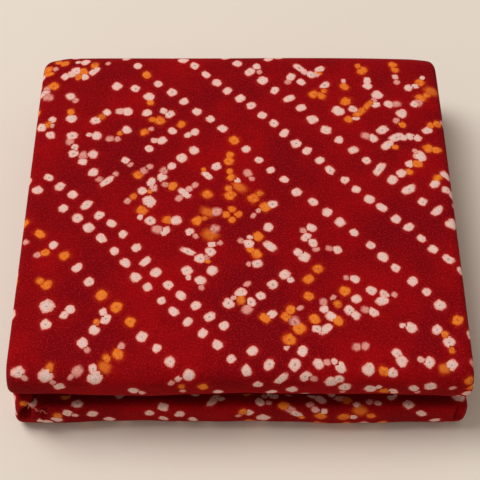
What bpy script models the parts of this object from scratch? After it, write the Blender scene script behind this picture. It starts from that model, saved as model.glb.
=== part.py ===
"""A length of tie-dyed cotton, folded into a flat packet.

The cloth starts as a flat grid, as it was cut, and every point is then moved to where folding puts it.
It is folded three times over:
  1. along its length into PLIES layers, back and forth;
  2. its two sides are turned in so that they meet along the middle, which gives a strip;
  3. both ends of the strip are turned in and the strip is closed like a book.
The book fold leaves two thick bundles, whose rounded noses lie one above the other at the front,
and one tall fold at the back. The packet lies on z = 0 with its noses towards -y.
"""

import math
from collections import namedtuple

import bpy

# Driving sizes, in metres
PACKET_WIDTH = 0.238
PACKET_DEPTH = 0.224
BUNDLE_HEIGHT = 0.0245
BUNDLE_GAP = 0.0018
CLOTH_THICKNESS = 0.0018
PLIES = 2
PLY_PITCH = 0.0031
BACK_CORNER_RADIUS = 0.0124
END_CLEARANCE = 0.0040
SELVEDGE_GAP = 0.0015
CUT_END_INSET = 0.0020

# What follows from them
HALF_THICKNESS = CLOTH_THICKNESS / 2
LEVELS = 2 * PLIES
STRIP_HEIGHT = (LEVELS - 1) * PLY_PITCH + CLOTH_THICKNESS
NOSE_RADIUS = (BUNDLE_HEIGHT - CLOTH_THICKNESS) / 2
SIDE_RADIUS = (LEVELS - 1) * PLY_PITCH / 2
SIDE_START = PACKET_WIDTH / 2 - SIDE_RADIUS - HALF_THICKNESS
PACKET_HEIGHT = 2 * BUNDLE_HEIGHT + BUNDLE_GAP
NOSE_Y = -PACKET_DEPTH / 2 + HALF_THICKNESS + NOSE_RADIUS
BACK_Y = PACKET_DEPTH / 2 - HALF_THICKNESS
CORNER_Y = BACK_Y - BACK_CORNER_RADIUS
END_Y = PACKET_DEPTH / 2 - STRIP_HEIGHT - END_CLEARANCE
BACK_WALL = PACKET_HEIGHT - CLOTH_THICKNESS - 2 * BACK_CORNER_RADIUS
UNDER_Z = BUNDLE_HEIGHT + BUNDLE_GAP + HALF_THICKNESS

# The strip's way through the packet, from the end inside the upper bundle to the end inside the lower one
Stretch = namedtuple("Stretch", "name length radius degrees steps")
WAY = (
    Stretch("under side of the upper bundle", END_Y - NOSE_Y, 0, 0, 4),
    Stretch("upper nose", 0, NOSE_RADIUS, 180, 8),
    Stretch("top", CORNER_Y - NOSE_Y, 0, 0, 5),
    Stretch("upper back corner", 0, BACK_CORNER_RADIUS, 90, 4),
    Stretch("back", BACK_WALL, 0, 0, 2),
    Stretch("lower back corner", 0, BACK_CORNER_RADIUS, 90, 4),
    Stretch("bottom", CORNER_Y - NOSE_Y, 0, 0, 4),
    Stretch("lower nose", 0, NOSE_RADIUS, 180, 8),
    Stretch("top side of the lower bundle", END_Y - NOSE_Y, 0, 0, 4),
)
TURN_BACK_STEPS = 4
SIDE_STEPS = 4
FACE_SHARES = (0.4, 0.74, 0.9, 1.0)
RETURN_SHARES = (0.5, 1.0)
SIDE_SQUARENESS = 0.7

# The corner that stands open: the left end of the lower nose. There the turned-in side stops short of
# lying flat, and the cloth's side draws back, most of all at the top of the bundle.
OPEN_ANGLE = math.radians(30)
OPEN_REACH = 0.018
OPEN_RETURN = 0.0020
DRAW_BACK = 0.0024
DRAW_BACK_WIDTH = 0.024
DRAW_BACK_DEPTH = 0.016
DRAW_BACK_FROM_HEIGHT = 0.004

# How the packet has settled: each is the most that a point moves
SIDES_DROP = 0.0009
ENDS_DROP = 0.0007
CORNERS_DROP = 0.0008
TOP_RIPPLE = 0.0006
LOWER_OVERHANG = 0.0030
LOWER_SPREAD = 0.0010
LIES_FLAT_BELOW = 0.0001
BACK_CORNER_PULL = 0.0026
FRONT_CORNER_PULL = 0.0004
CORNER_SHARE = 0.86

# The unevenness along each nose: its height, the angle that it turns through in a metre, and its start
Wave = namedtuple("Wave", "height per_metre start")
UPPER_WAVES = (Wave(0.00054, 38, 0.4), Wave(0.00036, 71, 2.1))
LOWER_WAVES = (Wave(0.00054, 31, 2.6), Wave(0.00036, 83, 0.3))

CLOTH_COLOUR = (0.262, 0.006, 0.008, 1.0)
CLOTH_ROUGHNESS = 0.85


def clear_scene():
    for thing in list(bpy.data.objects):
        bpy.data.objects.remove(thing, do_unlink=True)


def smooth(low, high, value):
    """0 below low, 1 above high and a soft step between them."""
    share = min(1.0, max(0.0, (value - low) / (high - low)))
    return share * share * (3 - 2 * share)


def stretch_length(stretch):
    return stretch.length or stretch.radius * math.radians(stretch.degrees)


def way_stations():
    """Distances along the strip where the mesh has a row."""
    stations, start = [0.0], 0.0
    for stretch in WAY:
        long = stretch_length(stretch)
        stations += [start + long * step / stretch.steps for step in range(1, stretch.steps + 1)]
        start += long
    return stations


def on_way(distance):
    """(y, z) of the strip's outermost layer there, and (y, z) of its outward direction."""
    y, z, heading = END_Y, UNDER_Z, math.pi
    left = distance
    for stretch in WAY:
        part = left if stretch is WAY[-1] else min(left, stretch_length(stretch))
        if stretch.radius:
            turned = heading - part / stretch.radius
            y += stretch.radius * (math.sin(heading) - math.sin(turned))
            z += stretch.radius * (math.cos(turned) - math.cos(heading))
            heading = turned
        else:
            y += part * math.cos(heading)
            z += part * math.sin(heading)
        left -= part
        if left <= 0:
            break
    return (y, z), (-math.sin(heading), math.cos(heading))


def nose_middle(name):
    start = 0.0
    for stretch in WAY:
        if stretch.name == name:
            return start + stretch_length(stretch) / 2
        start += stretch_length(stretch)
    raise ValueError(name)


OPEN_AT = nose_middle("lower nose")


def openness(distance, side):
    """1 at the open corner, 0 away from it."""
    if side > 0:
        return 0.0
    away = abs(distance - OPEN_AT)
    half_nose = NOSE_RADIUS * math.pi / 2
    return 1 - smooth(half_nose / 2, half_nose + OPEN_REACH, away)


def across_stations():
    """Columns of the mesh from the left selvedge to the right one, as (side, zone, share of the zone)."""
    half = [("flat", share) for share in FACE_SHARES]
    half += [("side", step / SIDE_STEPS) for step in range(1, SIDE_STEPS + 1)]
    half += [("return", share) for share in RETURN_SHARES]
    left = [(-1, zone, share) for zone, share in reversed(half)]
    right = [(1, zone, share) for zone, share in half]
    return left + [(1, "flat", 0.0)] + right


def across(side, zone, share, ply, distance):
    """(x, depth below the strip's outermost layer) of a column, on a ply counted from the outside."""
    radius = SIDE_RADIUS - ply * PLY_PITCH
    if zone == "flat":
        return side * share * SIDE_START, ply * PLY_PITCH
    opened = openness(distance, side)
    turn = math.pi - opened * OPEN_ANGLE
    angle = turn * (share if zone == "side" else 1.0)
    x = SIDE_START + radius * squared(math.sin(angle))
    depth = SIDE_RADIUS - radius * squared(math.cos(angle))
    if zone == "return":
        long = OPEN_RETURN if opened else SIDE_START - SELVEDGE_GAP
        x += share * long * math.cos(turn)
        depth += share * long * math.sin(turn)
    return side * x, depth


def lengthwise_stations():
    """Rows of the mesh as (distance along the strip, ply), from the inner cut end to the outer one."""
    rows = []
    stations = way_stations()
    whole = stations[-1]
    for ply in reversed(range(PLIES)):
        run = stations if (PLIES - 1 - ply) % 2 == 0 else stations[::-1]
        run = list(run)
        if ply == PLIES - 1:
            run[0] += CUT_END_INSET
        if ply == 0:
            run[-1] += CUT_END_INSET if run[-1] < whole / 2 else -CUT_END_INSET
        rows += [(distance, ply) for distance in run]
        if ply > 0:
            outward = 1 if run[-1] > whole / 2 else -1
            for step in range(1, TURN_BACK_STEPS):
                angle = math.pi * step / TURN_BACK_STEPS
                bulge = PLY_PITCH / 2 * math.sin(angle)
                rows.append((run[-1] + outward * bulge, ply - 0.5 + 0.5 * math.cos(angle)))
    return rows


def squared(share):
    """A sine or cosine, made larger, so that the turn it belongs to is squarer than a half circle."""
    return math.copysign(abs(share) ** SIDE_SQUARENESS, share)


def waviness(waves, x):
    return sum(wave.height * math.sin(wave.per_metre * x + wave.start) for wave in waves)


def drawn_back(x, y, z):
    """How far the open corner's side draws back at a point of the lower bundle."""
    share = 1 - smooth(0, DRAW_BACK_WIDTH, x + PACKET_WIDTH / 2)
    share *= 1 - smooth(PLY_PITCH, DRAW_BACK_DEPTH, y + PACKET_DEPTH / 2)
    return DRAW_BACK * share * smooth(DRAW_BACK_FROM_HEIGHT, BUNDLE_HEIGHT, z)


def settle(x, y, z):
    """Moves a point of the neatly folded packet to where the soft cloth has settled."""
    across_share = 2 * x / PACKET_WIDTH
    along_share = 2 * y / PACKET_DEPTH
    height = z / PACKET_HEIGHT
    front = smooth(0, 1, -along_share)
    upper = smooth(BUNDLE_HEIGHT, BUNDLE_HEIGHT + BUNDLE_GAP, z)
    spread = 1 - front * upper - (1 - front) * smooth(0.2, 0.8, height)
    pull = FRONT_CORNER_PULL if y < 0 else BACK_CORNER_PULL
    pull *= smooth(CORNER_SHARE, 1, abs(across_share)) * smooth(CORNER_SHARE, 1, abs(along_share))
    drop = SIDES_DROP * across_share**4 + ENDS_DROP * along_share**4
    drop += CORNERS_DROP * (across_share * along_share) ** 4
    ripple = TOP_RIPPLE * math.sin(21 * x + 9 * y + 0.6) * math.cos(17 * y - 12 * x)
    back_and_forth = upper * waviness(UPPER_WAVES, x) + (1 - upper) * waviness(LOWER_WAVES, x)
    return (
        x + (1 - upper) * drawn_back(x, y, z) + LOWER_SPREAD * across_share * spread
        - math.copysign(pull, x),
        y + front * (back_and_forth - LOWER_OVERHANG * (1 - upper)) - math.copysign(pull, y),
        z + (ripple - drop) * smooth(0.1, 1, height),
    )


def folded(distance, ply, side, zone, share):
    """Where a point of the flat cloth comes to lie."""
    (y, z), (out_y, out_z) = on_way(distance)
    x, depth = across(side, zone, share, ply, distance)
    return settle(x, y - depth * out_y, z - depth * out_z)


def cloth_material():
    material = bpy.data.materials.new("tie_dyed_cotton")
    material.use_nodes = True
    shader = material.node_tree.nodes["Principled BSDF"]
    shader.inputs["Base Color"].default_value = CLOTH_COLOUR
    shader.inputs["Roughness"].default_value = CLOTH_ROUGHNESS
    shader.inputs["Metallic"].default_value = 0.0
    return material


def bandhani_cloth(collection):
    """The flat cloth as a grid, each point of which is moved to its place in the packet."""
    rows, columns = lengthwise_stations(), across_stations()
    bpy.ops.mesh.primitive_grid_add(x_subdivisions=len(columns) - 1, y_subdivisions=len(rows) - 1, size=1)
    cloth = bpy.context.object
    cloth.name = "bandhani_cloth"
    points = [folded(*row, *column) for row in rows for column in columns]
    middle_x = (min(p[0] for p in points) + max(p[0] for p in points)) / 2
    middle_y = (min(p[1] for p in points) + max(p[1] for p in points)) / 2
    for vertex, (x, y, z) in zip(cloth.data.vertices, points, strict=True):
        vertex.co = (x - middle_x, y - middle_y, z)
    thicken = cloth.modifiers.new("thickness of the cloth", "SOLIDIFY")
    thicken.thickness = CLOTH_THICKNESS
    thicken.offset = 0
    evaluated = cloth.evaluated_get(bpy.context.evaluated_depsgraph_get())
    thick_cloth = bpy.data.meshes.new_from_object(evaluated)
    cloth.modifiers.clear()
    cloth.data = thick_cloth
    for vertex in cloth.data.vertices:
        if vertex.co.z < LIES_FLAT_BELOW:
            vertex.co.z = 0.0
    cloth.data.shade_smooth()
    cloth.data.materials.append(cloth_material())
    for home in list(cloth.users_collection):
        home.objects.unlink(cloth)
    collection.objects.link(cloth)
    return cloth


def main():
    clear_scene()
    packet = bpy.data.collections.new("folded_bandhani_cloth")
    bpy.context.scene.collection.children.link(packet)
    bandhani_cloth(packet)


main()
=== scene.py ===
"""The finished look of a folded packet of red bandhani cotton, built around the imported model.

The cloth is laid out flat, with the places of its tied dots stored on it, and is then folded by the same
rules and sizes as the solid that it replaces, only finer. The dots stay sharp however the cloth turns,
because every face knows where it lies in its nearest dot.
"""

import math
import random
from collections import namedtuple

import bpy
import numpy as np
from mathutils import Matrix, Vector
from mathutils.kdtree import KDTree


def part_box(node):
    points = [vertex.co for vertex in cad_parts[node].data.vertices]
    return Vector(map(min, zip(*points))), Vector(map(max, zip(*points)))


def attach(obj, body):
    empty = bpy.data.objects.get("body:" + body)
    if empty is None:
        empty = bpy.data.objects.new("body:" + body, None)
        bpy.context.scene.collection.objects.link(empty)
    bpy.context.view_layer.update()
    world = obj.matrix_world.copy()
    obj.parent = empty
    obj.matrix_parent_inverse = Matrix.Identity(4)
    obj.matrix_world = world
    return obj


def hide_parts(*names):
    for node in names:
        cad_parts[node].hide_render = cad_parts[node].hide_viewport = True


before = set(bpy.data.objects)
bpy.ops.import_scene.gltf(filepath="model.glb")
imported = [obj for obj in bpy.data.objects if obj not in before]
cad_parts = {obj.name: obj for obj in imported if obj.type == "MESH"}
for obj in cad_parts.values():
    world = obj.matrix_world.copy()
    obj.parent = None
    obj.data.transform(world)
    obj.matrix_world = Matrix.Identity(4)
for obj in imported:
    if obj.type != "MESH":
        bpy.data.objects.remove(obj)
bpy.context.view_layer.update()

bl_info = {
    "name": "Folded Bandhani Cloth",
    "version": (1, 0, 0),
    "blender": (4, 5, 0),
    "location": "3D View > Sidebar > Bandhani",
    "description": "Builds a folded packet of tie-dyed cotton, its loose threads and its stage",
    "category": "Object",
}

NODE = "bandhani_cloth"
BODY = "root"

# Sizes of the packet, in metres, as the solid has them
PACKET_WIDTH = 0.238
PACKET_DEPTH = 0.224
BUNDLE_HEIGHT = 0.0245
BUNDLE_GAP = 0.0018
STRIP_HEIGHT = 0.0111
BACK_CORNER_RADIUS = 0.0124
END_CLEARANCE = 0.0040
SELVEDGE_GAP = 0.0015
CUT_END_INSET = 0.0020
PLIES = 2

# What follows from them
PACKET_HEIGHT = 2 * BUNDLE_HEIGHT + BUNDLE_GAP
LEVELS = 2 * PLIES


def length_setting(name, description, default, **limits):
    """A length that a user can change."""
    return bpy.props.FloatProperty(
        name=name, description=description, default=default, subtype="DISTANCE", unit="LENGTH", precision=5,
        **limits,
    )


def angle_setting(name, description, degrees):
    """An angle that a user can change."""
    return bpy.props.FloatProperty(
        name=name, description=description, default=math.radians(degrees), subtype="ANGLE", unit="ROTATION",
    )


def colour_setting(name, description, default):
    """A colour that a user can change."""
    return bpy.props.FloatVectorProperty(
        name=name, description=description, default=default, subtype="COLOR", size=3, min=0, max=1,
    )


class PacketSettings(bpy.types.PropertyGroup):
    """Sizes of the folded cloth."""

    thickness: length_setting("Thickness", "Thickness of the cotton", 0.0008, min=0.0003, max=0.002)
    mesh_step: length_setting(
        "Mesh step", "Distance between points where the cloth shows", 0.0019, min=0.001, max=0.01,
    )
    crease_depth: length_setting(
        "Crease depth", "How deep the deepest soft crease is", 0.0011, min=0.0, max=0.003,
    )


class DyeSettings(bpy.types.PropertyGroup):
    """Sizes and colours of the tied and dyed pattern."""

    pitch: length_setting(
        "Dot pitch", "Distance from one tied dot to the next", 0.0095, min=0.003, max=0.03,
    )
    seed: bpy.props.IntProperty(name="Seed", description="Start of the unevenness of the dots", default=7)
    ground: colour_setting("Ground", "Colour of the dyed cotton", (0.282, 0.0016, 0.0037))
    pale: colour_setting("Pale dots", "Colour of the cotton that the ties kept undyed", (1.0, 0.62, 0.54))
    rim: colour_setting("Rim", "Colour where the red has crept under a tie", (0.88, 0.29, 0.24))
    orange: colour_setting(
        "Orange dots", "Colour of the cotton that was tied after the first, orange bath",
        (0.76, 0.095, 0.004),
    )
    yellow: colour_setting("Yellow dots", "Colour of the palest orange dots", (0.92, 0.25, 0.016))


class ThreadSettings(bpy.types.PropertyGroup):
    """Sizes of the threads that have come loose at the open corner."""

    count: bpy.props.IntProperty(name="Count", description="Number of loose threads", default=30, min=0)
    length: length_setting("Length", "Length of the longest loose thread", 0.0019, min=0.0)
    radius: length_setting("Radius", "Radius of a thread", 0.00011, min=0.00001)
    seed: bpy.props.IntProperty(name="Seed", description="Start of the threads' random turns", default=3)


class StageSettings(bpy.types.PropertyGroup):
    """Floor, light and camera."""

    floor: colour_setting("Floor", "Colour of the floor", (0.83, 0.765, 0.69))
    key_power: bpy.props.FloatProperty(
        name="Key light", description="Power of the main light", default=129.0, min=0.0, subtype="POWER",
        unit="POWER",
    )
    daylight: bpy.props.FloatProperty(
        name="Daylight", description="Strength of the light from all round", default=0.375, min=0.0,
    )
    camera_y: length_setting("Camera y", "Where the camera stands, in front of the packet", -0.3625)
    camera_height: length_setting("Camera height", "Height of the camera above the floor", 0.5554)
    camera_pitch: angle_setting("Camera pitch", "How far the camera looks down", 56.34)
    field_of_view: angle_setting("Field of view", "Angle that the picture takes in", 24.17)


# How the strip of cloth is folded. These are the rules of the solid, with the steps of a finer mesh.
Stretch = namedtuple("Stretch", "name length radius degrees step coarse")
Wave = namedtuple("Wave", "height per_metre start")
UPPER_WAVES = (Wave(0.00054, 38, 0.4), Wave(0.00036, 71, 2.1), Wave(0.00012, 197, 1.0))
LOWER_WAVES = (Wave(0.00054, 31, 2.6), Wave(0.00036, 83, 0.3), Wave(0.00014, 231, 0.2))

SIDE_SQUARENESS = 0.7
OPEN_ANGLE = math.radians(30)
OPEN_REACH = 0.018
OPEN_RETURN = 0.0020
DRAW_BACK = 0.0024
DRAW_BACK_WIDTH = 0.024
DRAW_BACK_FADE = (0.0031, 0.016)
DRAW_BACK_FROM_HEIGHT = 0.004

SIDES_DROP = 0.0009
ENDS_DROP = 0.0007
CORNERS_DROP = 0.0008
TOP_RIPPLE = 0.0006
RIPPLE_TURNS = (21, 9)
RIPPLE_START = 0.6
CROSS_RIPPLE_TURNS = (12, 17)
LOWER_OVERHANG = 0.0031
LOWER_SPREAD = 0.0010
BACK_CORNER_PULL = 0.0026
RIGHT_CORNER_SHARE = 0.4
FRONT_CORNER_PULL = 0.0004
CORNER_SHARE = 0.86

# Shares of the packet's height from which the cloth settles, creases, stops flaring and no longer spreads
SOFT_FROM = 0.1
CREASED_FROM = 0.9
FLARED_UP_TO = 0.6
SPREAD_FADE = (0.2, 0.8)

# Soft creases on the top, each from one place to another, with its width and its depth as a share of the
# deepest. A negative depth is a ridge.
Crease = namedtuple("Crease", "x0 y0 x1 y1 width depth")
CREASES = (
    Crease(-0.118, 0.052, -0.045, 0.036, 0.010, 0.7),
    Crease(-0.060, -0.100, -0.030, 0.010, 0.014, 0.6),
    Crease(0.020, 0.112, 0.034, 0.050, 0.012, -0.5),
    Crease(0.118, -0.020, 0.052, -0.042, 0.011, 0.8),
    Crease(-0.118, -0.082, -0.070, -0.062, 0.009, 1.0),
    Crease(0.010, -0.104, 0.070, -0.078, 0.012, -0.6),
    Crease(0.118, 0.070, 0.080, 0.064, 0.010, -0.8),
)
CREASE_ENDS = (-0.3, 0.2, 0.7, 1.2)


def smooth(low, high, value):
    """0 below low, 1 above high and a soft step between them."""
    share = min(1.0, max(0.0, (value - low) / (high - low)))
    return share * share * (3 - 2 * share)


def squared(share):
    """A sine or cosine, made larger, so that the turn it belongs to is squarer than a half circle."""
    return math.copysign(abs(share) ** SIDE_SQUARENESS, share)


def waviness(waves, x):
    """How far a fold's front edge waves back and forth at a place across."""
    return sum(wave.height * math.sin(wave.per_metre * x + wave.start) for wave in waves)


# The ends of the lower nose, seen from the front. Each is a place across and up, a reach, a lean and how
# deep it goes in. A negative depth stands out. The first is the mouth of the open corner.
End = namedtuple("End", "x z wide tall lean depth sharp")
LOWER_ENDS = (
    End(-0.1128, 0.0162, 0.0037, 0.0050, 0.30, 0.0260, 0.28),
    End(-0.1076, 0.0172, 0.0014, 0.0048, 0.12, -0.0019, 1.0),
    End(-0.1058, 0.0200, 0.0012, 0.0062, 0.90, -0.0013, 1.0),
    End(-0.1026, 0.0168, 0.0017, 0.0050, 0.50, 0.0024, 1.0),
    End(0.1128, 0.0160, 0.0009, 0.0062, 0.05, 0.0032, 0.7),
    End(0.1150, 0.0150, 0.0014, 0.0070, 0.02, -0.0008, 1.0),
)
END_FADE = 0.050

# Where the mesh is finer at the left and right end, and its finer steps as shares of the usual one
DETAIL_WIDTH = {-1: 0.024, 1: 0.010}
DETAIL_STEP = 0.45
LOWER_NOSE_STEP = 0.62
TURN_STEP = 0.7
RETURN_SHARES = (0.04, 0.2, 0.6, 1.0)
PLY_TURN_STEPS = 6

# Behind its front edge the lower fold sinks, which opens a dark wedge under the upper one. The distances
# are from the front.
LOWER_TOP_DROP = 0.0066
DROP_SINKS = (0.0030, 0.0135)
DROP_RISES = (0.026, 0.060)
DROP_FROM_LEVEL = 0.3
DROP_BESIDE_MOUTH = (-0.1185, -0.1090)

# How far back the squarer fronts reach, and how the upper nose sags and flares
NOSE_REACH = 0.045
STEEPEST_LEVEL = 0.985
SQUARED_FROM = (-0.2, 0.4)
UPPER_SAG = 0.0007
SAG_HEIGHT = 0.005
SAG_WIDTH = 0.006
UPPER_FLARE = 0.0014
FLARE_REACH = 0.034


def pressed_end(x, y, z):
    """How far the ends of the lower nose are pressed in at a point."""
    fade = 1 - smooth(0, END_FADE, y + PACKET_DEPTH / 2)
    if fade == 0:
        return 0.0
    depth = 0.0
    for end in LOWER_ENDS:
        across, up = x - end.x, z - end.z
        aside = (across * math.cos(end.lean) - up * math.sin(end.lean)) / end.wide
        along = (across * math.sin(end.lean) + up * math.cos(end.lean)) / end.tall
        away = math.hypot(aside, along)
        depth += end.depth * (1 - smooth(1 - end.sharp / 2, 1 + end.sharp / 2, away))
    return depth * fade


def nose_squaring(z):
    """How much further forward a squarer nose reaches than a round one, as a share of its radius."""
    lower = z < BUNDLE_HEIGHT + BUNDLE_GAP / 2
    above_middle = (z - (0 if lower else BUNDLE_HEIGHT + BUNDLE_GAP)) / (BUNDLE_HEIGHT / 2) - 1
    level = min(STEEPEST_LEVEL, abs(above_middle))
    squarer = (1 - level**3) ** (1 / 3) - math.sqrt(1 - level**2)
    return squarer * (1 if lower else smooth(*SQUARED_FROM, above_middle))


def creased(x, y):
    """Sum of the soft creases at a place on the top, as a share of the deepest."""
    depth = 0.0
    for crease in CREASES:
        run_x, run_y = crease.x1 - crease.x0, crease.y1 - crease.y0
        long = math.hypot(run_x, run_y)
        along = ((x - crease.x0) * run_x + (y - crease.y0) * run_y) / long
        aside = ((x - crease.x0) * run_y - (y - crease.y0) * run_x) / long
        first, full, fading, last = (share * long for share in CREASE_ENDS)
        ends = smooth(first, full, along) * (1 - smooth(fading, last, along))
        depth += crease.depth * ends * math.exp(-((aside / crease.width) ** 2))
    return depth


def rippled(x, y):
    """How far the top's slow ripple lifts a place."""
    wave = math.sin(RIPPLE_TURNS[0] * x + RIPPLE_TURNS[1] * y + RIPPLE_START)
    return TOP_RIPPLE * wave * math.cos(CROSS_RIPPLE_TURNS[1] * y - CROSS_RIPPLE_TURNS[0] * x)


class Fold:
    """The way of the strip through the packet, for a cloth of one thickness."""

    def __init__(self, thickness, step):
        self.half = thickness / 2
        self.ply_pitch = (STRIP_HEIGHT - thickness) / (LEVELS - 1)
        self.side_radius = (STRIP_HEIGHT - thickness) / 2
        self.side_start = PACKET_WIDTH / 2 - self.side_radius - self.half
        self.nose_radius = (BUNDLE_HEIGHT - thickness) / 2
        self.nose_y = -PACKET_DEPTH / 2 + self.half + self.nose_radius
        self.corner_y = PACKET_DEPTH / 2 - self.half - BACK_CORNER_RADIUS
        self.end_y = PACKET_DEPTH / 2 - STRIP_HEIGHT - END_CLEARANCE
        inside = self.end_y - self.nose_y
        face = self.corner_y - self.nose_y
        back = PACKET_HEIGHT - thickness - 2 * BACK_CORNER_RADIUS
        self.way = (
            Stretch("under side of the upper bundle", inside, 0, 0, 0.018, 4),
            Stretch("upper nose", 0, self.nose_radius, 180, step, 8),
            Stretch("top", face, 0, 0, step, 5),
            Stretch("upper back corner", 0, BACK_CORNER_RADIUS, 90, step, 4),
            Stretch("back", back, 0, 0, step, 2),
            Stretch("lower back corner", 0, BACK_CORNER_RADIUS, 90, 0.003, 4),
            Stretch("bottom", face, 0, 0, 0.015, 4),
            Stretch("lower nose", 0, self.nose_radius, 180, step * LOWER_NOSE_STEP, 8),
            Stretch("top side of the lower bundle", inside, 0, 0, 0.018, 4),
        )
        self.open_at = self.start_of("lower nose") + math.pi * self.nose_radius / 2
        self.face_start = self.start_of("top")
        self.whole = sum(self.length(stretch) for stretch in self.way)

    def length(self, stretch):
        return stretch.length or stretch.radius * math.radians(stretch.degrees)

    def start_of(self, name):
        start = 0.0
        for stretch in self.way:
            if stretch.name == name:
                return start
            start += self.length(stretch)
        raise ValueError(name)

    def stations(self, fine):
        """Distances along the strip where the mesh has a row."""
        stations, start = [0.0], 0.0
        for stretch in self.way:
            long = self.length(stretch)
            steps = max(2, round(long / stretch.step)) if fine else stretch.coarse
            stations += [start + long * step / steps for step in range(1, steps + 1)]
            start += long
        return stations

    def on_way(self, distance):
        """(y, z) of the strip's outermost layer there, and (y, z) of its outward direction."""
        y, z, heading = self.end_y, BUNDLE_HEIGHT + BUNDLE_GAP + self.half, math.pi
        left = distance
        for stretch in self.way:
            part = left if stretch is self.way[-1] else min(left, self.length(stretch))
            if stretch.radius:
                turned = heading - part / stretch.radius
                y += stretch.radius * (math.sin(heading) - math.sin(turned))
                z += stretch.radius * (math.cos(turned) - math.cos(heading))
                heading = turned
            else:
                y += part * math.cos(heading)
                z += part * math.sin(heading)
            left -= part
            if left <= 0:
                break
        return (y, z), (-math.sin(heading), math.cos(heading))

    def openness(self, distance, side):
        """1 at the open corner, 0 away from it."""
        if side > 0:
            return 0.0
        away = abs(distance - self.open_at)
        half_nose = self.nose_radius * math.pi / 2
        return 1 - smooth(half_nose / 2, half_nose + OPEN_REACH, away)

    def columns(self, step):
        """Columns from the left selvedge to the right one, as (side, zone, share of the zone)."""
        halves = []
        for side in (-1, 1):
            fine = DETAIL_WIDTH[side] / self.side_start
            coarse_steps = round((1 - fine) * self.side_start / step)
            fine_steps = round(fine * self.side_start / (step * DETAIL_STEP))
            turn = round(math.pi * self.side_radius / (step * TURN_STEP))
            half = [("flat", (1 - fine) * number / coarse_steps) for number in range(1, coarse_steps + 1)]
            half += [("flat", 1 - fine + fine * number / fine_steps) for number in range(1, fine_steps + 1)]
            half += [("side", number / turn) for number in range(1, turn + 1)]
            half += [("return", share) for share in RETURN_SHARES]
            halves.append([(side, zone, share) for zone, share in half])
        return halves[0][::-1] + [(1, "flat", 0.0)] + halves[1]

    def rows(self):
        """Rows as (distance along the strip, ply, length of cloth up to it), from the inner cut end."""
        rows, used = [], 0.0
        for ply in reversed(range(PLIES)):
            run = self.stations(fine=ply == 0)
            if (PLIES - 1 - ply) % 2:
                run.reverse()
            if ply == PLIES - 1:
                run[0] += CUT_END_INSET
            if ply == 0:
                run[-1] += CUT_END_INSET if run[-1] < self.whole / 2 else -CUT_END_INSET
            for number, distance in enumerate(run):
                used += abs(distance - run[number - 1]) if number else 0.0
                rows.append((distance, ply, used))
            if ply > 0:
                outward = 1 if run[-1] > self.whole / 2 else -1
                turn_step = math.pi * self.ply_pitch / (2 * PLY_TURN_STEPS)
                for number in range(1, PLY_TURN_STEPS):
                    angle = math.pi * number / PLY_TURN_STEPS
                    used += turn_step
                    bulge = self.ply_pitch / 2 * math.sin(angle)
                    rows.append((run[-1] + outward * bulge, ply - 0.5 + 0.5 * math.cos(angle), used))
                used += turn_step
        return rows

    def across(self, side, zone, share, ply, distance):
        """(x, depth below the outermost layer, place across the flat cloth) of a column."""
        radius = self.side_radius - ply * self.ply_pitch
        if zone == "flat":
            return side * share * self.side_start, ply * self.ply_pitch, side * share * self.side_start
        opened = self.openness(distance, side)
        turn = math.pi - opened * OPEN_ANGLE
        angle = turn * (share if zone == "side" else 1.0)
        x = self.side_start + radius * squared(math.sin(angle))
        depth = self.side_radius - radius * squared(math.cos(angle))
        place = self.side_start + self.side_radius * angle
        if zone == "return":
            long = OPEN_RETURN if opened else self.side_start - SELVEDGE_GAP
            x += share * long * math.cos(turn)
            depth += share * long * math.sin(turn)
            place += share * long
        return side * x, depth, side * place

    def drawn_back(self, x, y, z):
        """How far the open corner's side draws back at a point of the lower bundle."""
        share = 1 - smooth(0, DRAW_BACK_WIDTH, x + PACKET_WIDTH / 2)
        share *= 1 - smooth(*DRAW_BACK_FADE, y + PACKET_DEPTH / 2)
        return DRAW_BACK * share * smooth(DRAW_BACK_FROM_HEIGHT, BUNDLE_HEIGHT, z)

    def settle(self, x, y, z, crease_depth):
        """Moves a point of the neatly folded packet to where the soft cloth has settled."""
        across_share = 2 * x / PACKET_WIDTH
        along_share = 2 * y / PACKET_DEPTH
        height = z / PACKET_HEIGHT
        front = smooth(0, 1, -along_share)
        upper = smooth(BUNDLE_HEIGHT, BUNDLE_HEIGHT + BUNDLE_GAP, z)
        spread = 1 - front * upper - (1 - front) * smooth(*SPREAD_FADE, height)
        pull = FRONT_CORNER_PULL if y < 0 else BACK_CORNER_PULL * (1 if x < 0 else RIGHT_CORNER_SHARE)
        pull *= smooth(CORNER_SHARE, 1, abs(across_share)) * smooth(CORNER_SHARE, 1, abs(along_share))
        drop = SIDES_DROP * across_share**4 + ENDS_DROP * along_share**4
        drop += CORNERS_DROP * (across_share * along_share) ** 4
        ripple = rippled(x, y)
        if height > CREASED_FROM:
            ripple -= crease_depth * creased(x, y) * smooth(CREASED_FROM, 1, height)
        back_and_forth = upper * waviness(UPPER_WAVES, x) + (1 - upper) * waviness(LOWER_WAVES, x)
        behind = y + PACKET_DEPTH / 2
        above_sag = (z - BUNDLE_HEIGHT - SAG_HEIGHT) / SAG_WIDTH
        back_and_forth -= UPPER_SAG * upper * math.exp(-(above_sag**2))
        back_and_forth -= (1 - smooth(0, NOSE_REACH, behind)) * nose_squaring(z) * BUNDLE_HEIGHT / 2
        back_and_forth += (1 - upper) * pressed_end(x, y, z)
        wedge = LOWER_TOP_DROP * smooth(*DROP_SINKS, behind) * (1 - smooth(*DROP_RISES, behind))
        aside = smooth(*DROP_BESIDE_MOUTH, x)
        wedge *= (1 - upper) * smooth(DROP_FROM_LEVEL, 1.0, z / BUNDLE_HEIGHT) * aside
        flare = UPPER_FLARE * upper * across_share**3 * (1 - smooth(0, FLARE_REACH, behind))
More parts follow.
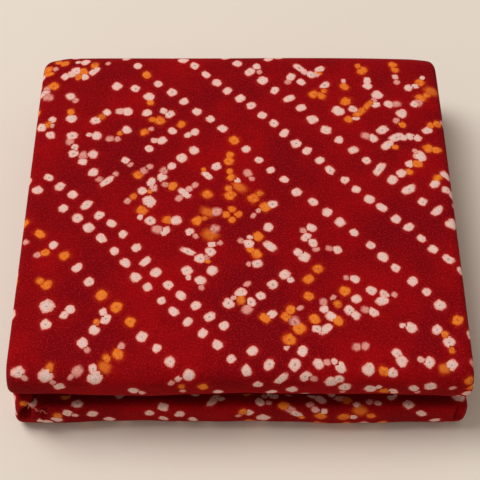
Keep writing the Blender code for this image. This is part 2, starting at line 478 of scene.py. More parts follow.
        flare *= 1 - smooth(FLARED_UP_TO, 1, height)
        return (
            x + (1 - upper) * self.drawn_back(x, y, z) + LOWER_SPREAD * across_share * spread
            + flare - math.copysign(pull, x),
            y + front * (back_and_forth - LOWER_OVERHANG * (1 - upper)) - math.copysign(pull, y),
            z + (ripple - drop) * smooth(SOFT_FROM, 1, height) - wedge,
        )


# The tied pattern. Places are counted in dot pitches along two directions at 45 degrees to the threads:
# along runs from the back left to the front right, and up from the front left to the back right.
Line = namedtuple("Line", "up sway pitch wide tall marks")
LINES = (
    Line(8.0, 0.05, 1.09, 0.61, 0.62, "wwwwwwi"),
    Line(5.95, 0.08, 0.98, 0.60, 0.59, "w"),
    Line(3.42, 0.08, 1.08, 0.57, 0.58, "wwwwwwwwwy"),
    Line(-6.1, 0.22, 1.04, 0.57, 0.57, "wwwwwwwi."),
    Line(-7.15, 0.18, 1.06, 0.58, 0.56, "wwwwwwww."),
    Line(-9.3, 0.10, 1.12, 0.58, 0.58, "wyowwyw"),
)
PATTERN_SHIFT = 0.0018
SWAY_LENGTH = 12.0
SWAY_START = 10.0

# Repeats of the fields between the lines, from the top row down. Each letter is one mark.
Field = namedtuple("Field", "first_up row_pitch first_along rows")
FIELDS = (
    Field(15.0, 0.90, 11, (
        ".....o.oO...",
        "......swo..s",
        "s...o...w.o.",
        ".....wWww.w.",
        "..w.o.j.s.wo",
        ".-wi.oj.ii.W",
        ".wwo.Wo.wi.w",
        "...........w",
    )),
    Field(2.1, 0.88, 5, (
        ".ww.wow..o.s....w.w...s.",
        "w..wow.w.woOoy..ws..wwi.",
        "..w.sw.w.-.o.sw..wo.yww.",
        ".w.w.w.w.so.F.y-..o.sw..",
        ".w.s..swy-.O..wo.w.owy.s",
        "w.w..sow...oOs.s.w.syi..",
        ".w.w.s.wW.ww.w..sw.oy..w",
        "w.wwwi.soww.-ww.wwy.owww",
        ".............ww.w....ww.",
    )),
    Field(-10.2, 0.88, 11, (
        "s.....w....s",
        "..o.w.w.o...",
        "w..W..w.O.w.",
        "....w...W...",
        "..w....s..s.",
        "......Ww...o",
        "o....w....w.",
    )),
)
FIELD_SPAN = 33
HALF_SPAN = 17
FIELD_OFFSET = 0.6

# What each letter means: width and height in pitches, colour, and how soft its edge is
Mark = namedtuple("Mark", "wide tall colour soft")
PALE, ORANGE, YELLOW = 0.0, 1.0, 0.6
MARKS = {
    "w": Mark(0.59, 0.60, PALE, 0.15),
    "W": Mark(0.74, 0.80, PALE, 0.12),
    "i": Mark(0.50, 0.92, PALE, 0.18),
    "-": Mark(0.86, 0.50, PALE, 0.18),
    "s": Mark(0.34, 0.40, PALE, 0.40),
    "o": Mark(0.60, 0.60, ORANGE, 0.24),
    "j": Mark(0.52, 1.00, ORANGE, 0.34),
    "y": Mark(0.60, 0.60, YELLOW, 0.18),
    "O": Mark(0.88, 0.70, ORANGE, 0.50),
}

# The flower is a ring of small dots. A petal's sizes are from its middle to its edge.
FLOWER_PETALS = 4
FLOWER_RADIUS = 0.36
PETAL = Mark(0.24, 0.24, 0.85, 0.22)

# How uneven the dots are, in pitches, shares and radians
LINE_SHAKE = 0.09
FIELD_SHAKE = 0.14
SIZE_SHAKE = 0.18
TURN_SHAKE = 0.3
COLOUR_SHAKE = 0.12

# Smaller dots that touch some of a field's dots
COMPANIONS = 0.72
COMPANION_SIZE = (0.18, 0.34)
COMPANION_FLATNESS = 0.85
COMPANION_DISTANCE = 0.46
COMPANION_SOFTNESS = (0.15, 0.5)
COMPANION_COLOURS = (PALE, PALE, PALE, PALE, ORANGE, YELLOW)

Dot = namedtuple("Dot", "along up wide tall turn colour soft seed")


def tied_dots(seed, along_range, up_range):
    """All the dots of a cloth that reaches over these ranges, in pitches."""
    dice = random.Random(seed)
    dots = []

    def place(along, up, mark, shake):
        if mark == "F":
            for petal in range(FLOWER_PETALS):
                turn = math.tau * petal / FLOWER_PETALS + math.pi / 4
                dots.append(Dot(
                    along + FLOWER_RADIUS * math.cos(turn), up + FLOWER_RADIUS * math.sin(turn),
                    PETAL.wide, PETAL.tall, turn, PETAL.colour, PETAL.soft, dice.random(),
                ))
            return
        wide, tall, colour, soft = mark
        along, up = along + dice.uniform(-shake, shake), up + dice.uniform(-shake, shake)
        if shake == FIELD_SHAKE and dice.random() < COMPANIONS:
            turn, size = dice.uniform(0, math.tau), dice.uniform(*COMPANION_SIZE)
            dots.append(Dot(
                along + COMPANION_DISTANCE * math.cos(turn), up + COMPANION_DISTANCE * math.sin(turn),
                size, size * COMPANION_FLATNESS, turn,
                dice.choice(COMPANION_COLOURS), dice.uniform(*COMPANION_SOFTNESS), dice.random(),
            ))
        dots.append(Dot(
            along, up,
            wide / 2 * (1 + dice.uniform(-SIZE_SHAKE, SIZE_SHAKE)),
            tall / 2 * (1 + dice.uniform(-SIZE_SHAKE, SIZE_SHAKE)),
            dice.uniform(-TURN_SHAKE, TURN_SHAKE),
            min(1.0, max(0.0, colour + dice.uniform(-COLOUR_SHAKE, COLOUR_SHAKE))), soft, dice.random(),
        ))

    first = math.floor((up_range[0] - HALF_SPAN) / FIELD_SPAN)
    last = math.ceil((up_range[1] + HALF_SPAN) / FIELD_SPAN)
    for span in range(first, last + 1):
        base = span * FIELD_SPAN
        for line in LINES:
            count = math.ceil((along_range[1] - along_range[0]) / line.pitch)
            for number in range(count):
                letter = line.marks[dice.randrange(len(line.marks))]
                if letter != ".":
                    mark = MARKS[letter]
                    if letter == "w":
                        mark = mark._replace(wide=line.wide, tall=line.tall)
                    along = along_range[0] + number * line.pitch
                    sway = line.sway * math.sin(math.tau * (along - SWAY_START) / SWAY_LENGTH)
                    place(along, base + line.up + sway, mark, LINE_SHAKE)
        for field in FIELDS:
            for down, row in enumerate(field.rows):
                start = math.floor(along_range[0]) - 1
                for along in range(start, math.ceil(along_range[1]) + 1):
                    letter = row[(along - field.first_along) % len(row)]
                    if letter != ".":
                        mark = MARKS.get(letter, letter)
                        up = base + field.first_up - down * field.row_pitch
                        place(along + FIELD_OFFSET, up, mark, FIELD_SHAKE)
    return dots


# Sockets of the Mix node that carry colours. Their names are those of its other kinds too.
MIX_FIRST, MIX_SECOND, MIX_RESULT = 6, 7, 2


class Nodes:
    """Adds nodes to one tree. add() makes any node; the maths comes from operators on Value."""

    def __init__(self, tree):
        self.tree = tree

    def add(self, kind, inputs=None, output=0, **settings):
        node = self.tree.nodes.new(kind)
        for name, value in settings.items():
            setattr(node, name, value)
        self.feed(node, inputs or {})
        return Value(self, node.outputs[output])

    def feed(self, node, inputs):
        """Gives a node's inputs what they take: numbers and colours, or the values of other nodes."""
        for name, value in inputs.items():
            if isinstance(value, Value):
                self.tree.links.new(value.socket, node.inputs[name])
            else:
                node.inputs[name].default_value = value

    def attribute(self, name):
        return self.add("ShaderNodeAttribute", output="Vector", attribute_name=name)

    def noise(self, vector, scale, detail=2.0, roughness=0.5):
        return self.add(
            "ShaderNodeTexNoise",
            {"Vector": vector, "Scale": scale, "Detail": detail, "Roughness": roughness}, "Fac",
        )

    def mix(self, share, first, second):
        """Colours, mixed by a share."""
        inputs = {0: share}
        for number, colour in ((MIX_FIRST, first), (MIX_SECOND, second)):
            inputs[number] = colour if isinstance(colour, Value) else (*colour, 1.0)
        return self.add("ShaderNodeMix", inputs, MIX_RESULT, data_type="RGBA")

    def vector(self, operation, first, second):
        return self.add("ShaderNodeVectorMath", {0: first, 1: second}, operation=operation)

    def split(self, vector):
        node = self.tree.nodes.new("ShaderNodeSeparateXYZ")
        self.tree.links.new(vector.socket, node.inputs[0])
        return [Value(self, output) for output in node.outputs]


class Value:
    """One output of a node. An expression on values adds its Math nodes."""

    def __init__(self, nodes, socket):
        self.nodes = nodes
        self.socket = socket

    def math(self, operation, *others):
        return self.nodes.add("ShaderNodeMath", dict(enumerate((self, *others))), operation=operation)

    def __add__(self, other):
        return self.math("ADD", other)

    __radd__ = __add__

    def __mul__(self, other):
        return self.math("MULTIPLY", other)

    __rmul__ = __mul__

    def __sub__(self, other):
        return self.math("SUBTRACT", other)

    def __rsub__(self, other):
        return self.nodes.add("ShaderNodeMath", {0: other, 1: self}, operation="SUBTRACT")

    def __pow__(self, other):
        return self.math("POWER", other)

    def __abs__(self):
        return self.math("ABSOLUTE")

    def sine(self):
        return self.math("SINE")

    def step(self, low, high):
        """0 below low, 1 above high and a soft step between them."""
        return self.nodes.add(
            "ShaderNodeMapRange", {"Value": self, "From Min": low, "From Max": high},
            interpolation_type="SMOOTHSTEP",
        )


def started_material(name):
    """A new material, its nodes and its surface."""
    material = bpy.data.materials.new(name)
    material.use_nodes = True
    return material, Nodes(material.node_tree), material.node_tree.nodes["Principled BSDF"]


def tinted(colour, red, green, blue):
    """A colour with each of its channels multiplied."""
    return colour[0] * red, colour[1] * green, colour[2] * blue


# Distance between threads in metres, and how much longer than wide a thread's uneven places are
WEAVE_PITCH = 0.00046
SLUB_LENGTH = 14.0

# How fine each unevenness of the cotton and its dye is, per metre, from single threads to clouds
THREAD_SCALE = 2400.0
GRAIN_SCALE = 1150.0
FRAY_SCALE = 900.0
MOTTLE_SCALE = 520.0
CRUMPLE_SCALE = 210.0
PATCH_SCALE = 95.0
CLOUD_SCALE = 19.0

# Heights of the relief, in metres
WEAVE_RELIEF = 0.00005
SLUB_RELIEF = 0.00013
GRAIN_RELIEF = 0.00006
PUCKER_RELIEF = 0.00016
CRUMPLE_RELIEF = 0.00022
TIE_RELIEF = 0.00004

# A dot is a little squarer than an ellipse. Each has its own place in the noise.
DOT_SQUARENESS = 2.5
SEED_DISTANCE = 61.0

# Colours of the darker marks on undyed cotton, and of the shade that is painted between its threads
TIE_CREASE = (0.40, 0.20, 0.15)
NEEDLE_MARK = (0.22, 0.06, 0.045)
PAINTED_SHADE_BETWEEN_THREADS = (0.45, 0.22, 0.16)


def tie_dyed_cotton(dye):
    """Red plain-woven cotton with its resist dots, read from what the cloth's faces store."""
    material, nodes, shader = started_material("tie_dyed_cotton")

    # Threads run along the flat cloth's own two directions
    flat = nodes.add("ShaderNodeUVMap", uv_map="flat cloth")
    across, along, _ = nodes.split(flat)
    turns = math.tau / WEAVE_PITCH
    weft = (along * turns).sine() * 0.5 + 0.5
    warp = (across * turns).sine() * 0.5 + 0.5
    over = ((along * (turns / 2)).sine() * (across * (turns / 2)).sine()) * 0.5 + 0.5
    weave = warp * over + weft * (1 - over)
    fine, long = THREAD_SCALE, THREAD_SCALE / SLUB_LENGTH
    warp_slub = nodes.noise(nodes.vector("MULTIPLY", flat, (fine, long, 1.0)), 1.0, 3.0)
    weft_slub = nodes.noise(nodes.vector("MULTIPLY", flat, (long, fine, 1.0)), 1.0, 3.0)
    slub = (warp_slub + weft_slub) * 0.5
    grain = nodes.noise(flat, GRAIN_SCALE, 2.0)
    mottle = nodes.noise(flat, MOTTLE_SCALE, 3.0, 0.6)

    # Where this point lies in its nearest dot: 0 at the middle, 1 at the edge
    place = nodes.attribute("dot place")
    facts = nodes.attribute("dot facts")
    dot_colour, dot_soft, dot_seed = nodes.split(facts)
    seeded = nodes.vector("ADD", place, nodes.vector("MULTIPLY", facts, (0.0, 0.0, SEED_DISTANCE)))
    side, rise, _ = nodes.split(place)
    distance = (abs(side) ** DOT_SQUARENESS + abs(rise) ** DOT_SQUARENESS) ** (1 / DOT_SQUARENESS)
    wobble = nodes.noise(seeded, 1.1, 2.0) - 0.5
    fray = nodes.noise(flat, FRAY_SCALE, 2.0) - 0.5
    reach = distance + wobble * 0.64 + fray * 0.26
    inside = 1 - nodes.add(
        "ShaderNodeMapRange", {"Value": reach, "From Min": 1 - dot_soft, "From Max": 1 + dot_soft * 0.6},
        interpolation_type="SMOOTHSTEP",
    )
    patchy = nodes.noise(seeded, 1.7, 2.0)
    strength = 1 - dot_soft.step(0.3, 0.6) * patchy.step(0.38, 0.66) * 0.55
    inside = inside * strength

    # The ground: dye taken up unevenly, in clouds and from thread to thread, with painted shade between the
    # threads
    clouds = nodes.noise(flat, CLOUD_SCALE, 3.0, 0.55)
    small_clouds = nodes.noise(flat, PATCH_SCALE, 3.0, 0.6)
    ground = nodes.mix(
        clouds.step(0.34, 0.68),
        tinted(dye.ground, 0.66, 0.75, 1.25), tinted(dye.ground, 1.25, 1.1, 0.9),
    )
    darker = tinted(dye.ground, 0.62, 0.62, 0.62)
    ground = nodes.mix(small_clouds.step(0.42, 0.75) * 0.5, ground, darker)
    ground = nodes.mix(mottle.step(0.50, 0.74) * 0.52, ground, darker)
    # Painted shade between the threads: darker where the thin yarn lies low under the bump
    ground = nodes.mix((1 - slub.step(0.36, 0.62)) * 0.34, ground, darker)
    lighter = [min(1.0, channel * 1.6 + 0.006) for channel in dye.ground]
    ground = nodes.mix(grain.step(0.48, 0.72) * 0.80, ground, lighter)

    # The dots: pale or orange, redder at the rim, with the tie's small creases and needle mark
    pale = nodes.mix(patchy.step(0.42, 0.8) * 0.45, dye.pale, dye.rim)
    pale = nodes.mix((1 - reach.step(0.38, 0.82)) * 0.9, pale, tinted(dye.pale, 0.92, 1.09, 1.18))
    warm = nodes.mix(patchy.step(0.30, 0.70), dye.orange, dye.yellow)
    warm = nodes.mix((1 - reach.step(0.30, 0.80)) * 0.30, warm, dye.yellow)
    warm = nodes.mix(dot_soft.step(0.40, 0.60) * 0.45, warm, tinted(dye.orange, 0.7, 0.7, 0.7))
    yellow = nodes.mix(patchy.step(0.35, 0.7) * 0.6, dye.yellow, dye.orange)
    warm = nodes.mix(dot_colour.step(0.55, 0.95), yellow, warm)
    fill = nodes.mix(dot_colour.step(0.25, 0.45), pale, warm)
    rim = nodes.mix(dot_colour.step(0.25, 0.45), dye.rim, dye.orange)
    faint = dot_soft.step(0.24, 0.42) * (1 - dot_colour.step(0.25, 0.45))
    fill = nodes.mix((reach.step(0.60, 1.00) * 0.85).math("MAXIMUM", faint * 0.8), fill, rim)
    warmth = dot_colour.step(0.25, 0.55)
    tie_creases = (reach * 17.0 + wobble * 9.0).sine().step(0.2, 1.0) * (1 - reach.step(0.75, 0.95))
    fill = nodes.mix(tie_creases * (0.34 - warmth * 0.20), fill, TIE_CREASE)
    needle = (1 - reach.step(0.05, 0.24)) * dot_seed.step(0.45, 0.55)
    fill = nodes.mix(needle * 0.55, fill, NEEDLE_MARK)
    # Painted shade between the threads: darker where the thin yarn lies low under the bump
    fill = nodes.mix((1 - slub.step(0.36, 0.62)) * (0.28 - warmth * 0.18), fill, PAINTED_SHADE_BETWEEN_THREADS)
    bled = nodes.mix(warmth, tinted(dye.ground, 1.6, 7.0, 3.0), tinted(dye.orange, 0.62, 0.26, 1.0))
    halo = (1 - reach.step(0.9, 1.8)) * (1 - inside) * (patchy.step(0.36, 0.64) * 0.55 + 0.18)
    colour = nodes.mix(halo, ground, bled)
    colour = nodes.mix(inside, colour, fill)

    # Relief: the weave, the slubs, and the pucker that each tie has left
    pucker = (1 - reach.step(0.0, 1.25)) * PUCKER_RELIEF
    crumple = nodes.noise(flat, CRUMPLE_SCALE, 3.0, 0.55) * CRUMPLE_RELIEF
    height = weave * WEAVE_RELIEF + slub * SLUB_RELIEF + grain * GRAIN_RELIEF + pucker + crumple
    height = height + tie_creases * inside * TIE_RELIEF
    bump = nodes.add("ShaderNodeBump", {"Height": height, "Strength": 0.85, "Distance": 1.0})
    nodes.feed(shader, {
        "Base Color": colour, "Roughness": 0.80 + slub * 0.16, "Normal": bump, "Specular IOR Level": 0.04,
        "Sheen Weight": 0.01, "Sheen Roughness": 0.45, "Sheen Tint": (1.0, 0.55, 0.50, 1.0),
    })
    return material


# How many dots are tried for each face, and how many corners a face has
NEAREST = 6
FACE_CORNERS = 4


def nearest_dots(dots, middles):
    """For each face's middle, the dot that covers it or comes nearest to doing so."""
    tree = KDTree(len(dots))
    for number, dot in enumerate(dots):
        tree.insert((dot.along, dot.up, 0.0), number)
    tree.balance()
    chosen = []
    for along, up in middles:
        best, least = 0, math.inf
        for _, number, _ in tree.find_n((along, up, 0.0), NEAREST):
            dot = dots[number]
            away = math.hypot((along - dot.along) / dot.wide, (up - dot.up) / dot.tall)
            if away < least:
                best, least = number, away
        chosen.append(best)
    return chosen


def corner_points(mesh):
    """The number of the point at each face corner."""
    corners = np.empty(len(mesh.loops), dtype=np.int32)
    mesh.loops.foreach_get("vertex_index", corners)
    return corners


def store_dots(mesh, flat, dye):
    """Stores in every face corner its place in the nearest dot, and in every face that dot's facts."""
    half = math.sqrt(0.5)
    along, up = (flat[:, 0] + flat[:, 1]) * half, (flat[:, 0] - flat[:, 1]) * half
    turned = np.stack((along, up), axis=1) / dye.pitch
    lowest, highest = turned.min(axis=0), turned.max(axis=0)
    dots = tied_dots(dye.seed, (lowest[0], highest[0]), (lowest[1], highest[1]))
    corners = corner_points(mesh).reshape(-1, FACE_CORNERS)
    chosen = nearest_dots(dots, turned[corners].mean(axis=1).tolist())
    table = np.array(dots)[chosen]
    fields = {name: table[:, number, None] for number, name in enumerate(Dot._fields)}
    across, along = turned[corners, 0] - fields["along"], turned[corners, 1] - fields["up"]
    cosine, sine = np.cos(fields["turn"]), np.sin(fields["turn"])
    place = np.zeros((*corners.shape, 3), dtype=np.float32)
    place[..., 0] = (across * cosine + along * sine) / fields["wide"]
    place[..., 1] = (along * cosine - across * sine) / fields["tall"]
    mesh.attributes.new("dot place", "FLOAT_VECTOR", "CORNER").data.foreach_set("vector", place.ravel())
    facts = np.hstack([fields[name] for name in ("colour", "soft", "seed")]).astype(np.float32)
    mesh.attributes.new("dot facts", "FLOAT_VECTOR", "FACE").data.foreach_set("vector", facts.ravel())


def store_map(mesh, name, places):
    """Adds a UV map with one place for each face corner."""
    uv = mesh.uv_layers.new(name=name)
    uv.data.foreach_set("uv", places.astype(np.float32).ravel())


def shares(weights):
    """Where each station lies from 0 to 1, when each step takes room by its weight."""
    places = np.concatenate(([0.0], np.cumsum(weights)))
    return places / places[-1]


# Shares of the bake map. The cloth's outer face takes most of it, above it lies a strip for the cut edges,
# and a strip at the top is for the inner face.
BAKE_SHOWN = {"bottom": 0.3, "under side of the upper bundle": 0.03, "top side of the lower bundle": 0.03}
BAKE_HIDDEN = 0.01
BAKE_MARGIN = 0.002
BAKE_OUTER = 0.936
BAKE_EDGES = (0.945, 0.015)
BAKE_INNER = (0.995, 0.03)


def store_bake_map(mesh, rows, columns, fold):
    """Lays the whole cloth out for baking, with most of the room for what shows."""
    starts = [(fold.start_of(stretch.name), BAKE_SHOWN.get(stretch.name, 1.0)) for stretch in fold.way]
    tall = []
    for (before, ply, used), (after, _, used_after) in zip(rows, rows[1:]):
        middle = (before + after) / 2
        room = [share for start, share in starts if start <= max(middle, 0)][-1]
        tall.append((used_after - used) * (room if ply == 0 else BAKE_HIDDEN))
    wide = []
    for (side, zone, share), (side_after, zone_after, share_after) in zip(columns, columns[1:]):
        place = fold.across(side, zone, share, 0, 0)[2]
        place_after = fold.across(side_after, zone_after, share_after, 0, 0)[2]
        hidden = "return" in (zone, zone_after)
        wide.append(abs(place_after - place) * (BAKE_HIDDEN if hidden else 1.0))
    across, along = shares(wide), shares(tall)
    corners = corner_points(mesh)
    grid = len(rows) * len(columns)
    inside = corners >= grid
    station = corners % grid
    uv = np.stack((across[station % len(columns)], along[station // len(columns)]), axis=1)
    outer = np.arange(len(corners)) < FACE_CORNERS * (len(rows) - 1) * (len(columns) - 1)
    uv[:, 0] = BAKE_MARGIN + (1 - 2 * BAKE_MARGIN) * uv[:, 0]
    uv[outer, 1] = BAKE_MARGIN + BAKE_OUTER * uv[outer, 1]
    uv[~outer, 1] = np.where(
        inside[~outer],
        BAKE_INNER[0] - BAKE_INNER[1] * uv[~outer, 1],
        BAKE_EDGES[0] + BAKE_EDGES[1] * uv[~outer, 1],
    )
    store_map(mesh, "OFBake", uv)


def plain_copy(thing):
    """Turns an object with modifiers into a plain mesh object of the same name."""
    evaluated = thing.evaluated_get(bpy.context.evaluated_depsgraph_get())
    mesh = bpy.data.meshes.new_from_object(evaluated)
    thing.modifiers.clear()
    old = thing.data
    thing.data = mesh
    bpy.data.meshes.remove(old)


class BANDHANI_OT_cloth(bpy.types.Operator):
    """Folds the tie-dyed cotton into its packet"""

    bl_idname = "bandhani.cloth"
    bl_label = "Folded Cloth"
    bl_options = {"REGISTER", "UNDO"}

    def execute(self, context):
        packet, dye = context.scene.bandhani_packet, context.scene.bandhani_dye
        fold = Fold(packet.thickness, packet.mesh_step)
        rows, columns = fold.rows(), fold.columns(packet.mesh_step)
        bpy.ops.mesh.primitive_grid_add(
            x_subdivisions=len(columns) - 1, y_subdivisions=len(rows) - 1, calc_uvs=False,
        )
        cloth = context.object
        cloth.name = "folded_cotton"
        points, flat = [], []
        top_back = fold.face_start + (PACKET_DEPTH / 2 - fold.nose_y)
        used_at_start = rows[-1][2] + rows[-1][0]
        for distance, ply, used in rows:
            (y, z), (out_y, out_z) = fold.on_way(distance)
            down = used - (used_at_start - top_back)
            for side, zone, share in columns:
                x, depth, place = fold.across(side, zone, share, ply, distance)
                points.append(fold.settle(x, y - depth * out_y, z - depth * out_z, packet.crease_depth))
                flat.append((place + PACKET_WIDTH / 2, down - PATTERN_SHIFT))
        points, flat = np.array(points), np.array(flat)
        points[:, 0] -= (points[:, 0].min() + points[:, 0].max()) / 2
        points[:, 1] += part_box(NODE)[1][1] - packet.thickness / 2 - points[:, 1].max()
        mesh = cloth.data
        mesh.vertices.foreach_set("co", points.astype(np.float32).ravel())
        store_map(mesh, "flat cloth", flat[corner_points(mesh)])
        store_dots(mesh, flat, dye)
        thicken = cloth.modifiers.new("thickness of the cloth", "SOLIDIFY")
        thicken.thickness = packet.thickness
        thicken.offset = 0
        plain_copy(cloth)
        store_bake_map(cloth.data, rows, columns, fold)
        cloth.data.shade_smooth()
        cloth.data.materials.clear()
        cloth.data.materials.append(tie_dyed_cotton(dye))
        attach(cloth, BODY)
        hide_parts(NODE)
        return {"FINISHED"}


# The frayed edge at the open corner, as two places across and up on the packet's front plane. It lies on
# the cloth where a line through each place, falling backwards, meets it.
FRAYED_EDGE = ((-0.1100, 0.0275), (-0.1012, 0.0195))
FALLING_BACK = Vector((0.0, 0.44, -0.90)).normalized()
LINE_LENGTH = 0.1
FRAYED_STEPS = 8
THREAD_BEND = ((0.0, 0.1, 0.0), (0.15, -0.55, 0.35), (0.55, -0.80, -0.10))
THREAD_TURN = (0.7, 0.9, 1.3)
SHORTEST_THREAD = 0.4
THREAD_SIDES = 5
THREAD_INPUTS = {"Count": "Int", "Length": "Float", "Radius": "Float", "Seed": "Int"}
UNDYED_SCALE = 420.0
YARN_SCALE = 5200.0


def thread_cotton(dye):
    """Cotton of the loose threads: pale and orange lengths of the same dyed yarn."""
    material, nodes, shader = started_material("loose_cotton_thread")
    place = nodes.add("ShaderNodeTexCoord", output="Object")
    undyed = nodes.noise(place, UNDYED_SCALE, 2.0)
    yarn = nodes.noise(place, YARN_SCALE, 2.0)
    colour = nodes.mix(undyed.step(0.46, 0.54), dye.rim, dye.yellow)
    colour = nodes.mix(undyed.step(0.56, 0.62), colour, dye.pale)
    colour = nodes.mix(yarn.step(0.45, 0.70) * 0.25, colour, dye.rim)
    nodes.feed(shader, {
        "Base Color": colour, "Roughness": 0.82 + yarn * 0.14, "Specular IOR Level": 0.05,
    })
    return material


def thread_nodes(material):
    """Geometry Nodes that set bent threads of random size and turn along an edge."""
    tree = bpy.data.node_groups.new("loose threads", "GeometryNodeTree")
    tree.interface.new_socket("Edge", in_out="INPUT", socket_type="NodeSocketGeometry")
    for name, kind in THREAD_INPUTS.items():
        tree.interface.new_socket(name, in_out="INPUT", socket_type="NodeSocket" + kind)
    tree.interface.new_socket("Threads", in_out="OUTPUT", socket_type="NodeSocketGeometry")
    nodes = Nodes(tree)
    given = tree.nodes.new("NodeGroupInput").outputs
    edge, count, length, radius, seed = (Value(nodes, given[name]) for name in ("Edge", *THREAD_INPUTS))
    edge = nodes.add("GeometryNodeMeshToCurve", {"Mesh": edge}, "Curve")
    points = nodes.add("GeometryNodeCurveToPoints", {"Curve": edge, "Count": count}, "Points", mode="COUNT")
    start, middle, end = THREAD_BEND
    line = nodes.add(
        "GeometryNodeCurveQuadraticBezier",
        {"Resolution": THREAD_SIDES, "Start": start, "Middle": middle, "End": end}, "Curve",
    )
    line = nodes.add("GeometryNodeTransform", {"Geometry": line, "Scale": length}, "Geometry")
    ring = nodes.add(
        "GeometryNodeCurvePrimitiveCircle", {"Resolution": THREAD_SIDES, "Radius": radius}, "Curve",
    )
    thread = nodes.add(
        "GeometryNodeCurveToMesh", {"Curve": line, "Profile Curve": ring, "Fill Caps": True}, "Mesh",
    )
    turn = nodes.add(
        "FunctionNodeRandomValue",
        {"Min": tuple(-angle for angle in THREAD_TURN), "Max": THREAD_TURN, "Seed": seed},
        data_type="FLOAT_VECTOR",
    )
    size = nodes.add(
        "FunctionNodeRandomValue", {2: SHORTEST_THREAD, "Seed": seed}, 1, data_type="FLOAT",
    )
    placed = nodes.add(
        "GeometryNodeInstanceOnPoints",
        {"Points": points, "Instance": thread, "Rotation": turn, "Scale": size}, "Instances",
    )
    real = nodes.add("GeometryNodeRealizeInstances", {"Geometry": placed}, "Geometry")
    finished = nodes.add(
        "GeometryNodeSetMaterial", {"Geometry": real, "Material": material}, "Geometry",
    )
    tree.links.new(finished.socket, tree.nodes.new("NodeGroupOutput").inputs["Threads"])
    return tree


class BANDHANI_OT_threads(bpy.types.Operator):
    """Sets loose threads along the frayed edge at the open corner"""

    bl_idname = "bandhani.threads"
    bl_label = "Loose Threads"
    bl_options = {"REGISTER", "UNDO"}

    def execute(self, context):
        packet, dye = context.scene.bandhani_packet, context.scene.bandhani_dye
        settings = context.scene.bandhani_threads
        cloth = bpy.data.objects.get("folded_cotton")
        if cloth is None:
            raise RuntimeError("The threads need the folded cloth")
        context.view_layer.update()
        (start_x, start_z), (end_x, end_z) = FRAYED_EDGE
        edge = []
        for number in range(FRAYED_STEPS + 1):
            share = number / FRAYED_STEPS
            x, z = start_x + share * (end_x - start_x), start_z + share * (end_z - start_z)
            above = Vector((x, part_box(NODE)[0][1], z)) - LINE_LENGTH * FALLING_BACK
            found, place, _, _ = cloth.ray_cast(above, FALLING_BACK)
            if not found:
                raise RuntimeError("The frayed edge doesn't lie on the cloth")
            edge.append(place)
        mesh = bpy.data.meshes.new("loose_threads")
        mesh.from_pydata(edge, [(number, number + 1) for number in range(FRAYED_STEPS)], [])
        threads = bpy.data.objects.new("loose_threads", mesh)
        context.collection.objects.link(threads)
        fringe = threads.modifiers.new("loose threads", "NODES")
        fringe.node_group = thread_nodes(thread_cotton(dye))
        for socket in fringe.node_group.interface.items_tree:
            if socket.name in THREAD_INPUTS:
                fringe[socket.identifier] = getattr(settings, socket.name.lower())
        plain_copy(threads)
        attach(threads, BODY)
        fold = Fold(packet.thickness, packet.mesh_step)
        width = 2 * (fold.side_start * 2 + math.pi * fold.side_radius - SELVEDGE_GAP)
        fold.rows()[-1][2]
        return {"FINISHED"}


FLOOR_SIZE = 6
FLOOR_ROUGHNESS = 0.9
FLOOR_SHINE = 0.2
DAYLIGHT_COLOUR = (1.0, 0.90, 0.80, 1.0)
KEY_COLOUR = (1.0, 0.975, 0.95)
KEY_SIZE = 2.6
KEY_PLACE = (-2.05, 0.95, 3.65)


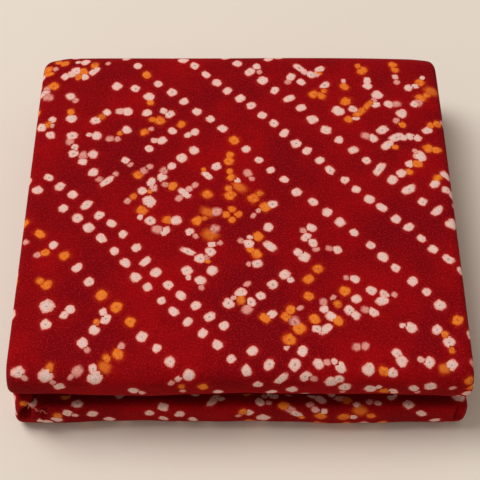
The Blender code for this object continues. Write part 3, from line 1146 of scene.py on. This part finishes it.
class BANDHANI_OT_stage(bpy.types.Operator):
    """Sets the pale floor, the soft light and the camera"""

    bl_idname = "bandhani.stage"
    bl_label = "Stage"
    bl_options = {"REGISTER", "UNDO"}

    def execute(self, context):
        stage = context.scene.bandhani_stage
        bpy.ops.mesh.primitive_plane_add(size=FLOOR_SIZE)
        floor = context.object
        floor.name = "floor"
        paper, nodes, shader = started_material("pale_floor")
        nodes.feed(shader, {
            "Base Color": (*stage.floor, 1.0), "Roughness": FLOOR_ROUGHNESS,
            "Specular IOR Level": FLOOR_SHINE,
        })
        floor.data.materials.append(paper)

        world = bpy.data.worlds.new("daylight")
        world.use_nodes = True
        Nodes(world.node_tree).feed(
            world.node_tree.nodes["Background"], {"Color": DAYLIGHT_COLOUR, "Strength": stage.daylight},
        )
        context.scene.world = world

        key = bpy.data.lights.new("key_light", "AREA")
        key.shape = "DISK"
        key.size = KEY_SIZE
        key.energy = stage.key_power
        key.color = KEY_COLOUR
        key_object = bpy.data.objects.new("key_light", key)
        key_object.location = KEY_PLACE
        key_object.rotation_euler = (-key_object.location).to_track_quat("-Z", "Y").to_euler()
        context.collection.objects.link(key_object)

        lens = bpy.data.cameras.new("camera")
        lens.sensor_fit = "AUTO"
        lens.angle = stage.field_of_view
        camera = bpy.data.objects.new("camera", lens)
        camera.location = (0.0, stage.camera_y, stage.camera_height)
        camera.rotation_euler = (math.pi / 2 - stage.camera_pitch, 0.0, 0.0)
        context.collection.objects.link(camera)
        context.scene.camera = camera
        context.scene.view_settings.view_transform = "Standard"
        return {"FINISHED"}


class BANDHANI_PT_sidebar(bpy.types.Panel):
    """Lists the pieces of the packet with their sizes and colours"""

    bl_idname = "BANDHANI_PT_sidebar"
    bl_label = "Folded Bandhani Cloth"
    bl_space_type = "VIEW_3D"
    bl_region_type = "UI"
    bl_category = "Bandhani"

    def draw(self, context):
        scene = context.scene
        groups = (
            ("bandhani.cloth", (scene.bandhani_packet, scene.bandhani_dye)),
            ("bandhani.threads", (scene.bandhani_threads,)),
            ("bandhani.stage", (scene.bandhani_stage,)),
        )
        for operator, settings in groups:
            box = self.layout.box()
            for group in settings:
                for name in group.bl_rna.properties.keys():
                    if name not in {"rna_type", "name"}:
                        box.prop(group, name)
            box.operator(operator)


SETTINGS = {
    "bandhani_packet": PacketSettings,
    "bandhani_dye": DyeSettings,
    "bandhani_threads": ThreadSettings,
    "bandhani_stage": StageSettings,
}
CLASSES = (
    *SETTINGS.values(), BANDHANI_OT_cloth, BANDHANI_OT_threads, BANDHANI_OT_stage, BANDHANI_PT_sidebar,
)


def register():
    for cls in CLASSES:
        bpy.utils.register_class(cls)
    for name, group in SETTINGS.items():
        setattr(bpy.types.Scene, name, bpy.props.PointerProperty(type=group))


def unregister():
    for name in SETTINGS:
        delattr(bpy.types.Scene, name)
    for cls in reversed(CLASSES):
        bpy.utils.unregister_class(cls)


def main():
    register()
    bpy.ops.bandhani.stage()
    bpy.ops.bandhani.cloth()
    bpy.ops.bandhani.threads()


if __name__ == "__main__":
    main()
